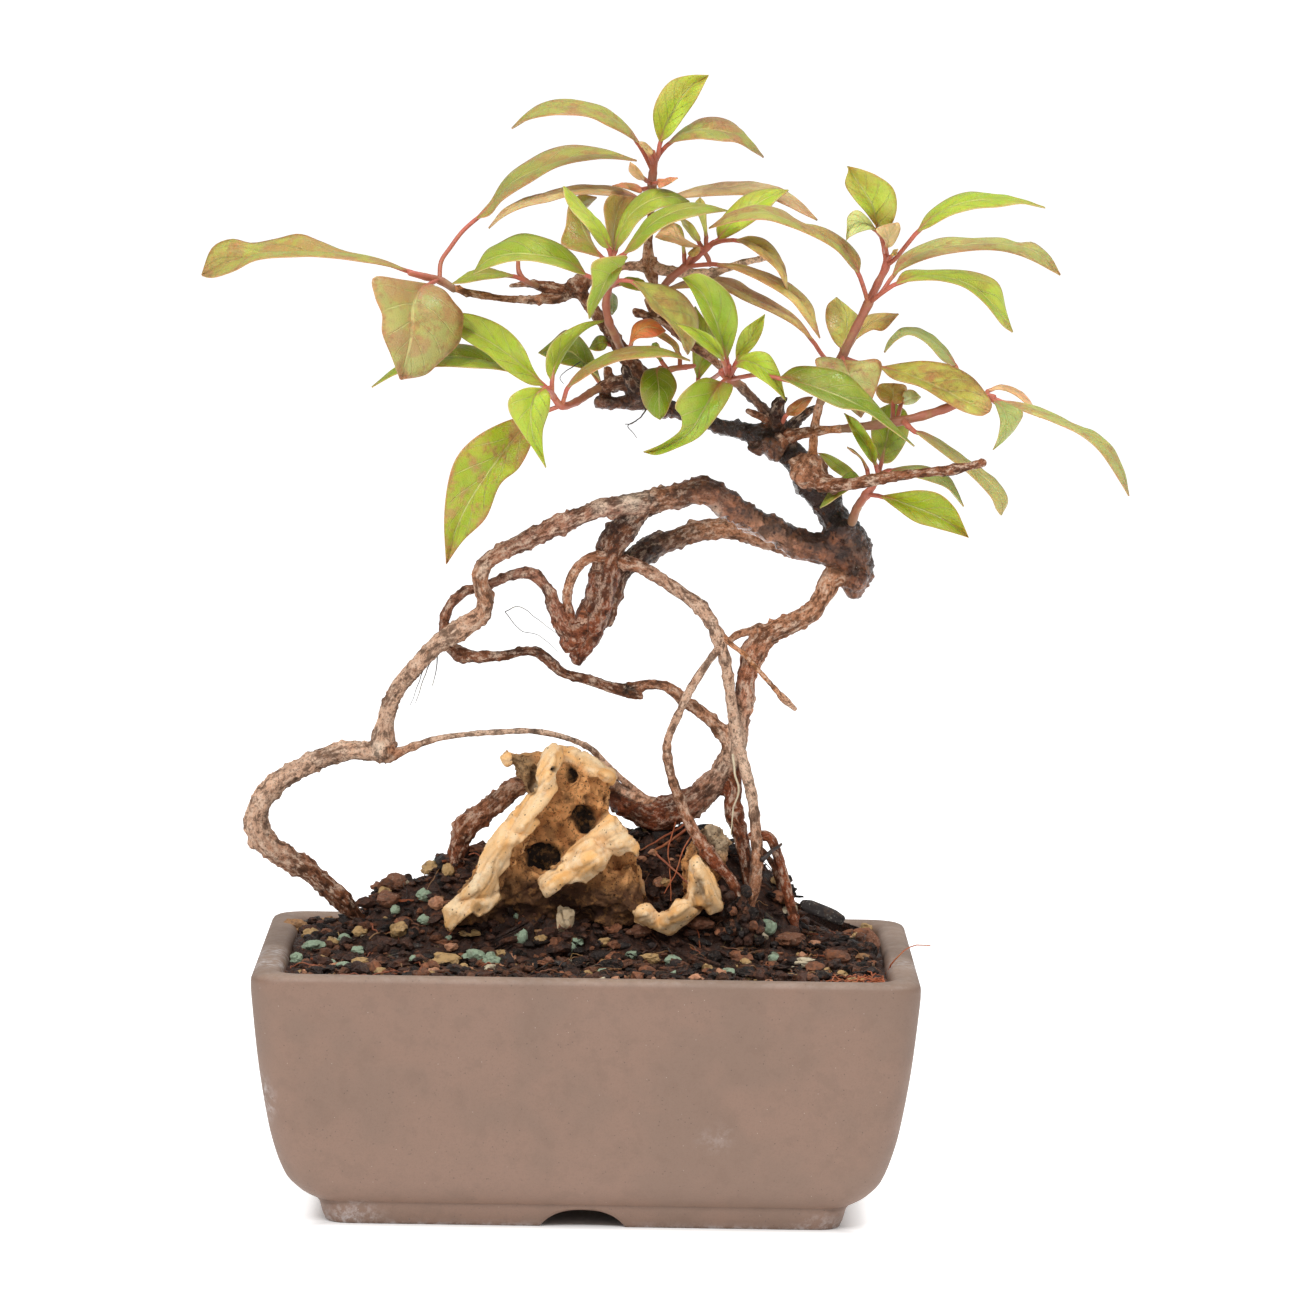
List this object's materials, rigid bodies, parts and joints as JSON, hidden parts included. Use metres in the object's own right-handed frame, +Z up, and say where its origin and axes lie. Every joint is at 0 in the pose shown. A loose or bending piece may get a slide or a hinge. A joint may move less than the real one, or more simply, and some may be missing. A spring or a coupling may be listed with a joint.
{
  "type": "firebush bonsai tree",
  "caption": "Small firebush bonsai with arching bare roots over a weathered rock, planted in an oblong unglazed clay pot.",
  "frame": {"origin": "middle of the underside of the whole object's box, on the surface it stands on", "axes": "+Z up; -Y towards the front, the pot's long side; +X along the pot, to the right seen from the front"},
  "size_m": [0.2922, 0.156, 0.3528],
  "materials": {
    "pot_clay": "unglazed, matt, finely speckled",
    "soil": "damp crumbs and grit",
    "rock": "rough, weathered, with brown pits",
    "bark": "rough bark, grey on the upper roots, dark and damp on the trunk",
    "leaf_green": "soft leaf, slight sheen",
    "leaf_olive": "soft leaf, rust blotches",
    "leaf_ember": "soft leaf, orange to rust"
  },
  "bodies": {
    "root": {"pot": "pot_clay", "soil": "soil", "stone": "rock", "trunk_and_roots": "bark", "left_shoot": "leaf_olive", "left_bract": "leaf_green", "middle_shoot": "leaf_green", "top_shoot": "leaf_olive", "right_inner_shoot": "leaf_olive", "right_outer_shoot": "leaf_green", "front_shoot": "leaf_green", "centre_shoot": "leaf_green", "ember_leaf": "leaf_ember", "lower_left_shoot": "leaf_green", "back_leaf": "leaf_green", "crown_leaf": "leaf_green", "rust_leaf": "leaf_ember", "far_right_shoot": "leaf_green", "lower_right_shoot": "leaf_green"}
  },
  "joints": []
}
